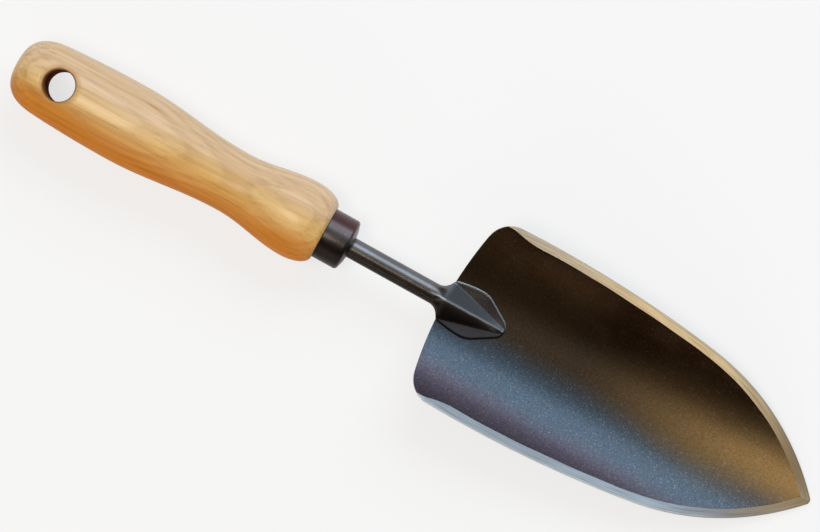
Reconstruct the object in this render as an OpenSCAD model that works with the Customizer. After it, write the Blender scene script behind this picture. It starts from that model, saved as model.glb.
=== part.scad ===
// Hand trowel: a dished steel blade on a forged shank, in a turned wooden handle with a steel ferrule.
// X runs from the butt of the handle to the tip of the blade, and the trowel rests on Z = 0, dish up.

/* [Handle] */
// Length of the wood that shows, from the butt to the ferrule
handle_len = 131; // [115:1:165]
// Diameter of the swell that fills the palm
swell_d = 31; // [27:0.5:38]
// Distance from the butt to the swell
swell_at = 46; // [40:1:54]
// Diameter that the swell's own curve would reach at the butt
butt_d = 26.4; // [22:0.2:27]
// Length of the rounding at the butt
butt_round = 16; // [8:0.5:20]
// Diameter of the waist
waist_d = 24.1; // [22.5:0.1:26.5]
// Distance from the ferrule back to the waist
waist_back = 39; // [34:0.5:46]
// Diameter of the bulb behind the ferrule
bulb_d = 30.8; // [27:0.2:36]
// Distance from the ferrule back to the bulb
bulb_back = 10.7; // [8:0.1:14]
// Height of the step from the ferrule up to the bulb's shoulder
shoulder_step = 0.4; // [0.2:0.1:1]

/* [Hanging hole] */
// Diameter of the hole through the handle
hole_d = 12; // [8:0.5:14]
// Distance from the butt to the hole's centre
hole_at = 18.8; // [15:0.2:26]
// Radius of the rounded rims of the hole
hole_rim = 2.6; // [1:0.1:3]

/* [Ferrule] */
// Outside diameter of the ferrule
ferrule_d = 20.1; // [18.5:0.1:22]
// Length of the ferrule, from the wood's shoulder to its front face
ferrule_len = 10.5; // [8:0.5:16]
// Thickness of the ferrule's tube
ferrule_wall = 1; // [0.6:0.1:1.4]
// Thickness of the ferrule's front face
ferrule_face = 1.2; // [0.8:0.1:2]
// Radius of the ferrule's front corner
ferrule_corner = 1.5; // [0.5:0.1:2]
// Rise of the front face towards the rod
ferrule_dome = 1; // [0.2:0.1:1.5]
// Gap between the ferrule and the spigot, all round
ferrule_gap = 0.05; // [0.02:0.01:0.2]
// Gap between the rod and the hole in the ferrule, all round
rod_gap = 0.15; // [0.05:0.01:0.4]

/* [Shank] */
// Diameter of the rod
rod_d = 8; // [6.5:0.1:9.5]
// Length of the shank that shows, from the ferrule to the blade's heel
neck_len = 41.2; // [30:0.2:70]
// Length over which the rod spreads into the blade's ridge
flare_len = 4.3; // [3:0.1:8]
// Length of the tang inside the handle
tang_len = 62; // [45:1:70]
// Diameter of the tang at the rod
tang_root_d = 6.8; // [5.5:0.1:7]
// Diameter of the tang at its end
tang_tip_d = 4; // [3:0.1:5]
// Diameter of the hole drilled for the tang
tang_hole_d = 9; // [7.5:0.1:10]
// Depth of that hole beyond the tang
tang_hole_spare = 3; // [1:0.5:6]

/* [Leaf of the shank] */
// Length of the leaf that lies in the dish
leaf_len = 25; // [20:0.5:34]
// Width of the leaf at the blade's heel, which is also the ridge's width there
leaf_heel_w = 15.6; // [12:0.2:18]
// Greatest width of the leaf
leaf_w = 18.4; // [14:0.2:22]
// Distance from the heel to the leaf's greatest width
leaf_wide_at = 11; // [9:0.5:14]
// Radius of the leaf's nose
leaf_nose_r = 4; // [2:0.1:5]
// Thickness of the leaf
leaf_t = 1.2; // [0.9:0.1:2]
// Width of the ridge at its front end
ridge_front_w = 2.4; // [1:0.1:4]
// Height of the ridge above the leaf at its front end
ridge_front_h = 0.3; // [0.1:0.1:1]
// Width of the weld run round the leaf
weld_w = 0.9; // [0.5:0.1:2]
// Thickness of the weld run
weld_t = 0.8; // [0.4:0.1:0.9]

/* [Blade] */
// Length of the blade
blade_len = 157.3; // [130:0.5:200]
// Width of the blade
blade_w = 74.6; // [62:0.2:88]
// Thickness of the blade's sheet
sheet_t = 1.8; // [1.2:0.1:2.5]
// Inside radius of the dish across the blade
dish_r = 50; // [47:0.5:80]
// Inside radius of the blade's bow along its length
bow_r = 800; // [600:10:1000]
// Drop of the dish's floor below the rod at the heel
heel_drop = 0.7; // [0.4:0.1:1.5]
// Distance from the tip back to the widest place
wide_back = 128; // [115:1:140]
// Radius of the long sides in plan
side_r = 480; // [420:10:700]
// Radius of the flanks that run to the tip
flank_r = 100; // [90:1:140]
// Radius of the tip
tip_r = 2; // [1:0.1:4]
// Radius of the heel edge in plan
heel_r = 152; // [120:1:300]
// Radius of the heel corners
corner_r = 10; // [5:0.5:16]

/* [Hidden] */

// Stations along X, with the origin at the middle of the whole length
overall_len = handle_len + ferrule_len + neck_len + blade_len;
butt_x = -overall_len / 2;
shoulder_x = butt_x + handle_len;
face_x = shoulder_x + ferrule_len;
heel_x = face_x + neck_len;
tip_x = heel_x + blade_len;

// Radii and seats
axis_z = max(swell_d, bulb_d) / 2;
rod_r = rod_d / 2;
ferrule_r = ferrule_d / 2;
spigot_r = ferrule_r - ferrule_wall - ferrule_gap;
spigot_x = face_x - ferrule_face;
tang_hole_len = tang_len + tang_hole_spare;
hole_r = hole_d / 2;
past = 1; // how far a cutter runs past what it cuts
step = 2.5; // spacing of the handle's profile points
slice = 0.2; // length of the end sections that the flare and the ridge are stretched between
crest_w = 0.6; // flat left along the ridge's crest
ridge_end_x = heel_x + leaf_len - leaf_nose_r / 2;

// The bow's centre stands over the lowest point of the blade, which touches Z = 0
bow_out_r = bow_r + sheet_t;
heel_z = axis_z - rod_r - heel_drop - sheet_t;
belly_x = heel_x + sqrt(2 * bow_out_r * heel_z - heel_z * heel_z);
tube_at = bow_r - dish_r;
sweep_margin = 8;
sweep_from = -asin((belly_x - heel_x + sweep_margin) / bow_r);
sweep_to = asin((tip_x - belly_x + sweep_margin) / bow_r);
bow_fn = 256;
round_fn = 96;

function ease(t) = (1 - cos(180 * t)) / 2;
function dish_floor(x) = bow_out_r - sqrt(bow_r * bow_r - (x - belly_x) * (x - belly_x));

// Where circles of radii r1 and r2 about p1 and p2 meet, on the left of the way from p1 to p2
function meet(p1, r1, p2, r2) =
    let (v = p2 - p1, d = norm(v), u = v / d)
    let (a = (r1 * r1 - r2 * r2 + d * d) / (2 * d), h = sqrt(r1 * r1 - a * a))
    p1 + a * u + h * [-u[1], u[0]];

// Where a circle about p, of radius r, touches the smaller circle about q inside it
function touch(p, r, q) = p + r * (q - p) / norm(q - p);

// Centres and touching points of the blade's outline, for the side at positive Y
side_c = [tip_x - wide_back, blade_w / 2 - side_r];
heel_c = [heel_x + heel_r, 0];
nose_c = [tip_x - tip_r, 0];
flank_c = meet(side_c, side_r - flank_r, nose_c, flank_r - tip_r);
corner_c = meet(side_c, side_r - corner_r, heel_c, heel_r - corner_r);
side_to_flank = touch(side_c, side_r, flank_c);
flank_to_nose = touch(flank_c, flank_r, nose_c);
heel_to_corner = touch(heel_c, heel_r, corner_c);
side_to_corner = touch(side_c, side_r, corner_c);

// Points along the arc about c from p to q, the short way, without p itself
function arc(c, r, p, q, n) =
    let (from = atan2(p[1] - c[1], p[0] - c[0]), turn = atan2(q[1] - c[1], q[0] - c[0]) - from)
    let (sweep = turn > 180 ? turn - 360 : turn < -180 ? turn + 360 : turn)
    [for (i = [1 : n]) c + r * [cos(from + sweep * i / n), sin(from + sweep * i / n)]];

// A whole outline from the half at positive Y, whose last point lies on the middle line
function both_sides(half) =
    concat(half, [for (i = [len(half) - 2 : -1 : 0]) [half[i][0], -half[i][1]]]);

blade_half = concat(
    arc(heel_c, heel_r, [heel_x, 0], heel_to_corner, 7),
    arc(corner_c, corner_r, heel_to_corner, side_to_corner, 6),
    arc(side_c, side_r, side_to_corner, side_to_flank, 9),
    arc(flank_c, flank_r, side_to_flank, flank_to_nose, 14),
    arc(nose_c, tip_r, flank_to_nose, [tip_x, 0], 3));

// Radius of the wood at x from the butt
function swell_curve(x) =
    swell_d / 2 - (swell_d - butt_d) / 2 * pow((swell_at - x) / swell_at, 2);
function handle_r(x) =
    x < swell_at ? swell_curve(x)
    : x < handle_len - waist_back
        ? (swell_d - (swell_d - waist_d) * ease((x - swell_at) / (handle_len - waist_back - swell_at))) / 2
    : x < handle_len - bulb_back
        ? (waist_d + (bulb_d - waist_d) * ease((x - handle_len + waist_back) / (waist_back - bulb_back))) / 2
    : ferrule_r + shoulder_step + (bulb_d / 2 - ferrule_r - shoulder_step)
        * sqrt(max(0, 1 - pow((x - handle_len + bulb_back) / bulb_back, 2)));

butt_steps = 12;
butt_fullness = 2 / 3; // below 1, the butt is fuller than an ellipse
butt_profile = [for (i = [0 : butt_steps - 1])
    let (t = 90 * i / butt_steps, x = butt_round * (1 - pow(cos(t), butt_fullness)))
    [swell_curve(x) * pow(sin(t), butt_fullness), x]];
grip_profile = [for (x = [butt_round : step : handle_len - bulb_back]) [handle_r(x), x]];
shoulder_steps = 8;
shoulder_profile = [for (i = [1 : shoulder_steps])
    let (x = handle_len - bulb_back * (1 - sin(90 * i / shoulder_steps)))
    [handle_r(x), x]];

// Turns a profile of [radius, distance] about the handle's axis, from x
module turned(x) {
    translate([x, 0, axis_z]) rotate([0, 90, 0]) rotate_extrude($fn = round_fn) children();
}

module rod_between(x1, x2, r1, r2) {
    translate([x1, 0, axis_z]) rotate([0, 90, 0])
        cylinder(h = x2 - x1, r1 = r1, r2 = r2, $fn = round_fn);
}

// Opens the hanging hole's rim to a round edge, above and below
module hole_flare() {
    rim_z = handle_r(hole_at + hole_r + hole_rim) - hole_rim;
    rotate_extrude($fn = round_fn) translate([0, rim_z]) difference() {
        square([hole_r + hole_rim, hole_rim + past]);
        translate([hole_r + hole_rim, 0]) circle(hole_rim, $fn = round_fn);
    }
}

module handle() {
    color("burlywood") difference() {
        union() {
            turned(butt_x) polygon(concat(butt_profile, grip_profile, shoulder_profile, [[0, handle_len]]));
            rod_between(shoulder_x - past, spigot_x, spigot_r, spigot_r);
        }
        rod_between(spigot_x - tang_hole_len, spigot_x + past, tang_hole_d / 2, tang_hole_d / 2);
        translate([butt_x + hole_at, 0, axis_z]) {
            cylinder(h = swell_d + past, r = hole_r, center = true, $fn = round_fn);
            hole_flare();
            mirror([0, 0, 1]) hole_flare();
        }
    }
}

module ferrule() {
    color("dimgray") turned(shoulder_x) difference() {
        union() {
            square([ferrule_r - ferrule_corner, ferrule_len]);
            square([ferrule_r, ferrule_len - ferrule_corner]);
            translate([ferrule_r - ferrule_corner, ferrule_len - ferrule_corner])
                circle(ferrule_corner, $fn = round_fn);
            polygon([[0, ferrule_len - past], [ferrule_r - ferrule_corner, ferrule_len - past],
                     [ferrule_r - ferrule_corner, ferrule_len], [rod_r, ferrule_len + ferrule_dome],
                     [0, ferrule_len + ferrule_dome]]);
        }
        translate([0, -past]) square([spigot_r + ferrule_gap, ferrule_len - ferrule_face + past]);
        square([rod_r + rod_gap, ferrule_len + ferrule_dome + past]);
    }
}

module tang() {
    rod_between(spigot_x - tang_len, spigot_x, tang_tip_d / 2, tang_root_d / 2);
}

module tang_resin() {
    color("wheat") difference() {
        rod_between(spigot_x - tang_hole_len, spigot_x, tang_hole_d / 2, tang_hole_d / 2);
        tang();
    }
}

// Sweeps a section about the bow's centre: the section's X is the distance from it, its Y is the trowel's Y
module bowed() {
    translate([belly_x, 0, bow_out_r]) rotate([90, 0, 0]) rotate([0, 0, sweep_from - 90])
        rotate_extrude(angle = sweep_to - sweep_from, $fn = bow_fn) children();
}

// The part of a round tube about the dish's centre line that lies below that line
module dish_disc(r) {
    intersection() {
        translate([tube_at, 0]) circle(r, $fn = bow_fn);
        translate([tube_at, -r]) square([r, 2 * r]);
    }
}

// A layer of the dish that is abs(t) thick: on its inner face where t > 0, below that face where t < 0
module dish_layer(t) {
    bowed() difference() {
        dish_disc(max(dish_r, dish_r - t));
        dish_disc(min(dish_r, dish_r - t));
    }
}

// An upright block over a plan outline, from just below Z = 0 up to a height
module block(outline, top) {
    translate([0, 0, -past]) linear_extrude(top + past) polygon(outline);
}

module blade() {
    color("saddlebrown") intersection() {
        dish_layer(-sheet_t);
        block(both_sides(blade_half), dish_r);
    }
}

// Half of the leaf's outline grown by g: a heel, a round body and a smaller round nose
function leaf_half(g) =
    let (body_r = leaf_w / 2 + g, nose_r = leaf_nose_r + g)
    let (body_c = [heel_x + leaf_wide_at, 0], leaf_nose_c = [heel_x + leaf_len - leaf_nose_r, 0])
    let (lean = asin((body_r - nose_r) / (leaf_nose_c[0] - body_c[0])))
    let (off_body = body_c + body_r * [sin(lean), cos(lean)])
    let (on_nose = leaf_nose_c + nose_r * [sin(lean), cos(lean)])
    concat([[heel_x, leaf_heel_w / 2 + g], body_c + [0, body_r]],
           arc(body_c, body_r, body_c + [0, body_r], off_body, 5),
           [on_nose], arc(leaf_nose_c, nose_r, on_nose, leaf_nose_c + [nose_r, 0], 6));

// A cross-section of the ridge at x, with its crest at height z
module ridge_section(x, w, z) {
    sole_z = dish_floor(x) - past;
    translate([x, 0, 0]) rotate([90, 0, 90]) linear_extrude(slice)
        polygon([[-w / 2, sole_z], [w / 2, sole_z], [w / 2, dish_floor(x) + leaf_t], [crest_w / 2, z],
                 [-crest_w / 2, z], [-w / 2, dish_floor(x) + leaf_t]]);
}

module shank() {
    color("sienna") union() {
        tang();
        rod_between(spigot_x, heel_x - flare_len + slice, rod_r, rod_r);
        intersection() {
            union() {
                hull() {
                    rod_between(heel_x - flare_len, heel_x - flare_len + slice, rod_r, rod_r);
                    ridge_section(heel_x, leaf_heel_w, axis_z + rod_r);
                }
                hull() {
                    ridge_section(heel_x, leaf_heel_w, axis_z + rod_r);
                    ridge_section(ridge_end_x, ridge_front_w,
                                  dish_floor(ridge_end_x) + leaf_t + ridge_front_h);
                }
                difference() {
                    block(both_sides(leaf_half(0)), axis_z);
                    bowed() dish_disc(dish_r - leaf_t);
                }
            }
            bowed() dish_disc(dish_r);
        }
    }
}

module leaf_weld() {
    color("gray") intersection() {
        dish_layer(weld_t);
        difference() {
            block(both_sides(leaf_half(weld_w)), axis_z);
            block(both_sides(leaf_half(0)), axis_z);
        }
    }
}

handle();
ferrule();
shank();
tang_resin();
blade();
leaf_weld();
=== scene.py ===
import math

import bmesh
import bpy
import numpy as np
from mathutils import Matrix, Vector


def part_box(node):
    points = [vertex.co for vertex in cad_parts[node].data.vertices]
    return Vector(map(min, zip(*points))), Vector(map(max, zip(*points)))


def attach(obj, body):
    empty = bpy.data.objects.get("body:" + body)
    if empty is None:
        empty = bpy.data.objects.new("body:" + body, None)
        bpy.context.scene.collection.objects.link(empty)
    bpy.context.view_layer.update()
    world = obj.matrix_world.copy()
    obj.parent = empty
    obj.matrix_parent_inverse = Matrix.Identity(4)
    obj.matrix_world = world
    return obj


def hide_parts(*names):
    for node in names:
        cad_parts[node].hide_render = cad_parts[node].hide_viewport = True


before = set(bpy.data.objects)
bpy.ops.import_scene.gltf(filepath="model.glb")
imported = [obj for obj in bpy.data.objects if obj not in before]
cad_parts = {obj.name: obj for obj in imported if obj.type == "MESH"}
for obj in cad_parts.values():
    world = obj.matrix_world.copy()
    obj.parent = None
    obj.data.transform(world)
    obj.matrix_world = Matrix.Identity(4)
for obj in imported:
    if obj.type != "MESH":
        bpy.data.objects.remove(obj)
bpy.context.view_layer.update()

handleLow, handleHigh = [np.array(c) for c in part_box("handle")]
ferruleLow, ferruleHigh = [np.array(c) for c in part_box("ferrule")]
shankLow, shankHigh = [np.array(c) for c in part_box("shank")]
bladeLow, bladeHigh = [np.array(c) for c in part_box("blade")]
resinLow, resinHigh = [np.array(c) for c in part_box("tang_resin")]
print("frame loaded")

# places along the tool, in metres, from the butt at low x to the blade's tip at high x
mm = 0.001
micron = 1e-6  # anything narrower counts as nothing
buttX = handleLow[0]
spigotX = handleHigh[0]
shoulderX = ferruleLow[0]
heelX = bladeLow[0]
tipX = bladeHigh[0]
axisZ = (handleLow[2] + handleHigh[2]) / 2
rodR = shankHigh[2] - axisZ
handleLen = shoulderX - buttX

dish = {
    "insideR": 50 * mm,  # across the blade
    "bowR": 800 * mm,  # along the blade
    "sheet": 1.8 * mm,
    "heelDrop": 0.7 * mm,
}
bowOutR = dish["bowR"] + dish["sheet"]
tubeAt = dish["bowR"] - dish["insideR"]
heelZ = axisZ - rodR - dish["heelDrop"] - dish["sheet"]
bellyX = heelX + math.sqrt(2 * bowOutR * heelZ - heelZ * heelZ)


def dishHeight(x, y, lift):
    # height of a layer of the blade: a circle of radius (inside radius - lift) across,
    # carried round a circle of radius (bow radius - lift) along
    across = np.sqrt((dish["insideR"] - lift) ** 2 - y * y)
    return bowOutR - np.sqrt((tubeAt + across) ** 2 - (x - bellyX) ** 2)


def ease(t):
    # half a cosine wave from 0 to 1
    return (1 - np.cos(np.pi * np.clip(t, 0, 1))) / 2


def gridFaces(rows, cols, start):
    # quads between neighbouring rows and columns of a grid of points
    i, j = np.meshgrid(np.arange(rows - 1), np.arange(cols - 1), indexing="ij")
    a = (start + i * cols + j).ravel()
    return np.stack([a, a + 1, a + cols + 1, a + cols], axis=1)


def makePiece(name, patches, node, coords=None):
    # joins patches, each a grid of points (rows, columns, 3) with a material number per quad,
    # merges their shared edges and turns the faces outwards
    points, quads, mats, extra, start = [], [], [], [], 0
    for k, (grid, mat) in enumerate(patches):
        rows, cols = grid.shape[:2]
        points.append(grid.reshape(-1, 3))
        quads.append(gridFaces(rows, cols, start))
        mats.append(np.broadcast_to(mat, (rows - 1, cols - 1)).ravel())
        if coords is not None:
            extra.append(coords[k].reshape(-1, 3))
        start += rows * cols
    points, quads, mats = np.concatenate(points), np.concatenate(quads), np.concatenate(mats)
    mesh = bpy.data.meshes.new(name)
    mesh.vertices.add(len(points))
    mesh.vertices.foreach_set("co", points.astype(np.float32).ravel())
    mesh.loops.add(quads.size)
    mesh.loops.foreach_set("vertex_index", quads.astype(np.int32).ravel())
    mesh.polygons.add(len(quads))
    mesh.polygons.foreach_set("loop_start", np.arange(0, quads.size, 4, dtype=np.int32))
    mesh.polygons.foreach_set("loop_total", np.full(len(quads), 4, dtype=np.int32))
    mesh.polygons.foreach_set("material_index", mats.astype(np.int32))
    if coords is not None:
        edgeCoord = mesh.attributes.new("edgeCoord", "FLOAT_VECTOR", "POINT")
        edgeCoord.data.foreach_set("vector", np.concatenate(extra).astype(np.float32).ravel())
    mesh.update(calc_edges=True)
    work = bmesh.new()
    work.from_mesh(mesh)
    bmesh.ops.remove_doubles(work, verts=work.verts, dist=2 * micron)
    bmesh.ops.dissolve_degenerate(work, edges=work.edges, dist=0.1 * micron)
    bmesh.ops.recalc_face_normals(work, faces=work.faces)
    if work.calc_volume(signed=True) < 0:
        bmesh.ops.reverse_faces(work, faces=work.faces)
    openEdges = sum(1 for e in work.edges if not e.is_manifold)
    work.to_mesh(mesh)
    work.free()
    mesh.polygons.foreach_set("use_smooth", np.ones(len(mesh.polygons), dtype=bool))
    piece = bpy.data.objects.new(name, mesh)
    bpy.context.scene.collection.objects.link(piece)
    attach(piece, "root")
    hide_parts(node)
    print("made", name, len(mesh.polygons), "faces,", openEdges, "open edges")
    return piece


def turnedGrid(profile, around):
    # a profile of (x, radius) carried round the tool's axis, from the top
    angle = np.linspace(0, 2 * np.pi, around + 1)
    x, r = profile[:, 0, None], profile[:, 1, None]
    ones = np.ones_like(angle)
    return np.stack([x * ones, r * np.sin(angle), axisZ + r * np.cos(angle)], axis=2)


def arcPoints(c, r, p, q, n):
    # n + 1 points along the short arc about c from p to q
    a = math.atan2(p[1] - c[1], p[0] - c[0])
    turn = (math.atan2(q[1] - c[1], q[0] - c[0]) - a + np.pi) % (2 * np.pi) - np.pi
    t = a + turn * np.linspace(0, 1, n + 1)
    return np.stack([c[0] + r * np.cos(t), c[1] + r * np.sin(t)], axis=1)


# blade
blade = {
    "wideBack": 128 * mm,  # from the tip back to the widest place
    "sideR": 480 * mm,  # radii in plan
    "flankR": 100 * mm,
    "tipR": 2 * mm,
    "heelR": 152 * mm,
    "cornerR": 10 * mm,
    "bevel": 3.3 * mm,  # width of the ground bevel in plan
    "edge": 1.0 * mm,  # sheet left outside the bevel
    "round": 0.16 * mm,  # rounding of the cut edges
    "heelFade": 55 * mm,  # over which the rows straighten from the heel's curve
    "bevelFrom": 8 * mm,  # along the edge from the heel's end to where the bevel starts
    "bevelGrow": 17 * mm,  # over which it reaches its full width
    "growPower": 2.2,  # how suddenly it starts to widen
    "deepen": 1.6,  # how much sooner it is fully deep than fully wide
    "leastSlant": 0.05,  # keeps the bevel from growing endless at the tip
    "waver": ((0.02, 120, 0), (0.015, 310, 1)),  # hand grinding: share of the width, rate, start
    "edgeSteps": (16, 74, 72, 8),  # points along corner, side, flank and tip
}


def meet(p, r1, q, r2):
    # where circles of radii r1 and r2 about p and q cross, left of the way from p to q
    d = np.linalg.norm(q - p)
    u = (q - p) / d
    a = (r1 * r1 - r2 * r2 + d * d) / (2 * d)
    return p + a * u + math.sqrt(r1 * r1 - a * a) * np.array([-u[1], u[0]])


def touchPoint(p, r, q):
    # where a circle about p of radius r touches the smaller circle about q inside it
    return p + r * (q - p) / np.linalg.norm(q - p)


def bladeEdge():
    # the outline on the +y side from the heel corner to the tip, as tangent arcs,
    # with the direction into the blade at each point
    halfW = bladeHigh[1]
    sideC = np.array([tipX - blade["wideBack"], halfW - blade["sideR"]])
    heelC = np.array([heelX + blade["heelR"], 0.0])
    noseC = np.array([tipX - blade["tipR"], 0.0])
    flankC = meet(sideC, blade["sideR"] - blade["flankR"], noseC, blade["flankR"] - blade["tipR"])
    cornerC = meet(sideC, blade["sideR"] - blade["cornerR"], heelC, blade["heelR"] - blade["cornerR"])
    sideToFlank = touchPoint(sideC, blade["sideR"], flankC)
    flankToNose = touchPoint(flankC, blade["flankR"], noseC)
    heelToCorner = touchPoint(heelC, blade["heelR"], cornerC)
    sideToCorner = touchPoint(sideC, blade["sideR"], cornerC)
    runs = [(cornerC, blade["cornerR"], heelToCorner, sideToCorner),
            (sideC, blade["sideR"], sideToCorner, sideToFlank),
            (flankC, blade["flankR"], sideToFlank, flankToNose),
            (noseC, blade["tipR"], flankToNose, np.array([tipX, 0.0]))]
    points, inward = [], []
    for (c, r, p, q), n in zip(runs, blade["edgeSteps"]):
        run = arcPoints(c, r, p, q, n)[0 if not points else 1:]
        points.append(run)
        inward.append((c - run) / r)
    return np.concatenate(points), np.concatenate(inward)


def buildBlade():
    # rows run across from one edge to the other; each row's height comes from dishHeight, less a
    # drop that grows in a straight line across the bevel
    edgeP, inward = bladeEdge()
    inner = edgeP + inward * blade["round"]
    inner[-1] = [tipX - blade["round"], 0]
    edgeX, half = inner[:, 0:1], inner[:, 1:2]
    length = np.concatenate([[0], np.cumsum(np.linalg.norm(np.diff(edgeP, axis=0), axis=1))])[:, None]
    grow = 1 - (1 - np.clip((length - blade["bevelFrom"]) / blade["bevelGrow"], 0, 1)) ** blade["growPower"]
    waver = 1
    for share, rate, start in blade["waver"]:
        waver = waver + share * np.sin(length * rate + start)
    slant = np.maximum(np.abs(inward[:, 1:2]), blade["leastSlant"])
    bevelW = np.maximum(blade["bevel"] * waver * grow / slant, micron)
    innerY = np.maximum(half - bevelW, 0)
    # columns: bevel, dish, bevel, with close pairs of columns at the crease
    bevelAt = np.array([0, 0.05, 0.3, 0.6, 0.9, 0.97])
    dishAt = np.concatenate([[-1, -0.994, -0.985], np.linspace(-0.96, 0.96, 50), [0.985, 0.994, 1]])
    left = -(half - (half - innerY) * bevelAt)
    y = np.concatenate([left, innerY * dishAt, -left[:, ::-1]], axis=1)
    nBevel = len(bevelAt)
    # each row is bent like the heel edge, less and less away from the heel
    heelCentre = heelX + blade["heelR"]
    heelHalf = half[0, 0]
    rowR = blade["heelR"] - blade["round"]
    across = y / np.maximum(half, micron / 1000) * heelHalf
    sag = np.sqrt(rowR ** 2 - across ** 2) - np.sqrt(rowR ** 2 - heelHalf ** 2)
    fade = 1 - ease((edgeX - edgeX[0]) / blade["heelFade"])
    x = edgeX - fade * sag
    share = np.clip((np.abs(y) - (half - bevelW)) / bevelW, 0, 1)
    full = dishHeight(x, y, 0) - dishHeight(x, y, -dish["sheet"])
    depth = np.minimum(grow * blade["deepen"], 1)
    drop = full * (1 - blade["edge"] / dish["sheet"]) * share * depth
    topZ = dishHeight(x, y, 0) - drop
    lowZ = dishHeight(x, y, -dish["sheet"])
    top = np.stack([x, y, topZ], axis=2)
    low = np.stack([x, y, lowZ], axis=2)
    coord = np.stack([np.broadcast_to(length, x.shape), (half - np.abs(y)) * slant, y], axis=2)

    def wall(edgeTop, edgeLow, outX, outY):
        # the rounded cut edge from the top face to the lower face, outside a boundary line
        steps = [(0, 0), (0.6, 0.12), (0.88, 0.4), (1, 1)]
        rings = []
        for out, down in steps:
            px = edgeTop[:, 0] + (outX - edgeTop[:, 0]) * out
            py = edgeTop[:, 1] + (outY - edgeTop[:, 1]) * out
            rings.append(np.stack([px, py, edgeTop[:, 2] - blade["round"] * down], axis=1))
        for out, down in steps[::-1]:
            px = edgeLow[:, 0] + (outX - edgeLow[:, 0]) * out
            py = edgeLow[:, 1] + (outY - edgeLow[:, 1]) * out
            rings.append(np.stack([px, py, edgeLow[:, 2] + blade["round"] * down], axis=1))
        return np.stack(rings, axis=1)

    sidePlus = wall(top[:, -1], low[:, -1], edgeP[:, 0], edgeP[:, 1])
    sideMinus = wall(top[:, 0], low[:, 0], edgeP[:, 0], -edgeP[:, 1])
    heelY = across[0] / heelHalf * edgeP[0, 1]
    heelWall = wall(top[0], low[0], heelCentre - np.sqrt(blade["heelR"] ** 2 - heelY ** 2), heelY)
    ground = np.zeros((len(x) - 1, y.shape[1] - 1), dtype=int)
    ground[:, :nBevel] = 1
    ground[:, -nBevel:] = 1
    ground[length[:-1, 0] < blade["bevelFrom"]] = 0

    def rimCoord(grid):
        # on the cut edge: the length along it, no inset, and the place across the blade
        rim = np.zeros(grid.shape)
        rim[..., 0] = length if len(grid) == len(length) else 0
        rim[..., 2] = grid[..., 1]
        return rim

    return makePiece(
        "dished_blade",
        [(top, ground), (low, 0), (sidePlus, 1), (sideMinus, 1), (heelWall, 0)],
        "blade",
        [coord, coord, rimCoord(sidePlus), rimCoord(sideMinus), rimCoord(heelWall)])


# shank
shank = {
    "tangTipR": 2.0 * mm,
    "tangRootR": 3.4 * mm,
    "flare": 5.2 * mm,  # length of the spread from rod to ridge
    "heelHalf": 7.8 * mm,  # half width of leaf and ridge at the heel
    "wideAt": 11 * mm,
    "noseR": 4 * mm,
    "leaf": 1.2 * mm,  # thickness of the leaf
    "ridgeEnd": 24 * mm,
    "ridgeEndHalf": 1.3 * mm,
    "ridgeShare": 0.94,  # most of the leaf's width that the ridge may take
    "ridgeEndRise": 0.25 * mm,  # height of the ridge over the leaf at its end
    "leastRise": 0.02 * mm,
    "crestR": 0.22 * mm,
    "crestFade": 0.6 * mm,  # height of the ridge under which its crest gets sharper
    "leafEdge": 0.3 * mm,
    "tipChamfer": 0.3 * mm,
    "rodChamfer": 0.2 * mm,
    "spreadPower": 2.2,  # how suddenly the rod starts to spread
}
leafLen = shankHigh[0] - heelX
leafHalf = shankHigh[1]


def leafHalfWidth(s, grow=0.0):
    # half width of the leaf s beyond the heel: a quarter wave out to the body circle, a tangent
    # line to the nose circle, then that circle
    bodyR, noseR = leafHalf + grow, shank["noseR"] + grow
    noseAt = leafLen - shank["noseR"]
    lean = math.asin((bodyR - noseR) / (noseAt - shank["wideAt"]))
    offBody = shank["wideAt"] + bodyR * math.sin(lean)
    onNose = noseAt + noseR * math.sin(lean)
    heelPart = shank["heelHalf"] + grow + (leafHalf - shank["heelHalf"]) * np.sin(
        np.pi / 2 * np.clip(s / shank["wideAt"], -0.4, 1))
    bodyPart = np.sqrt(np.maximum(bodyR ** 2 - (s - shank["wideAt"]) ** 2, 0))
    linePart = bodyR * math.cos(lean) - (s - offBody) * math.tan(lean)
    nosePart = np.sqrt(np.maximum(noseR ** 2 - (s - noseAt) ** 2, 0))
    return np.where(s < shank["wideAt"], heelPart,
                    np.where(s < offBody, bodyPart, np.where(s < onNose, linePart, nosePart)))


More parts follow.
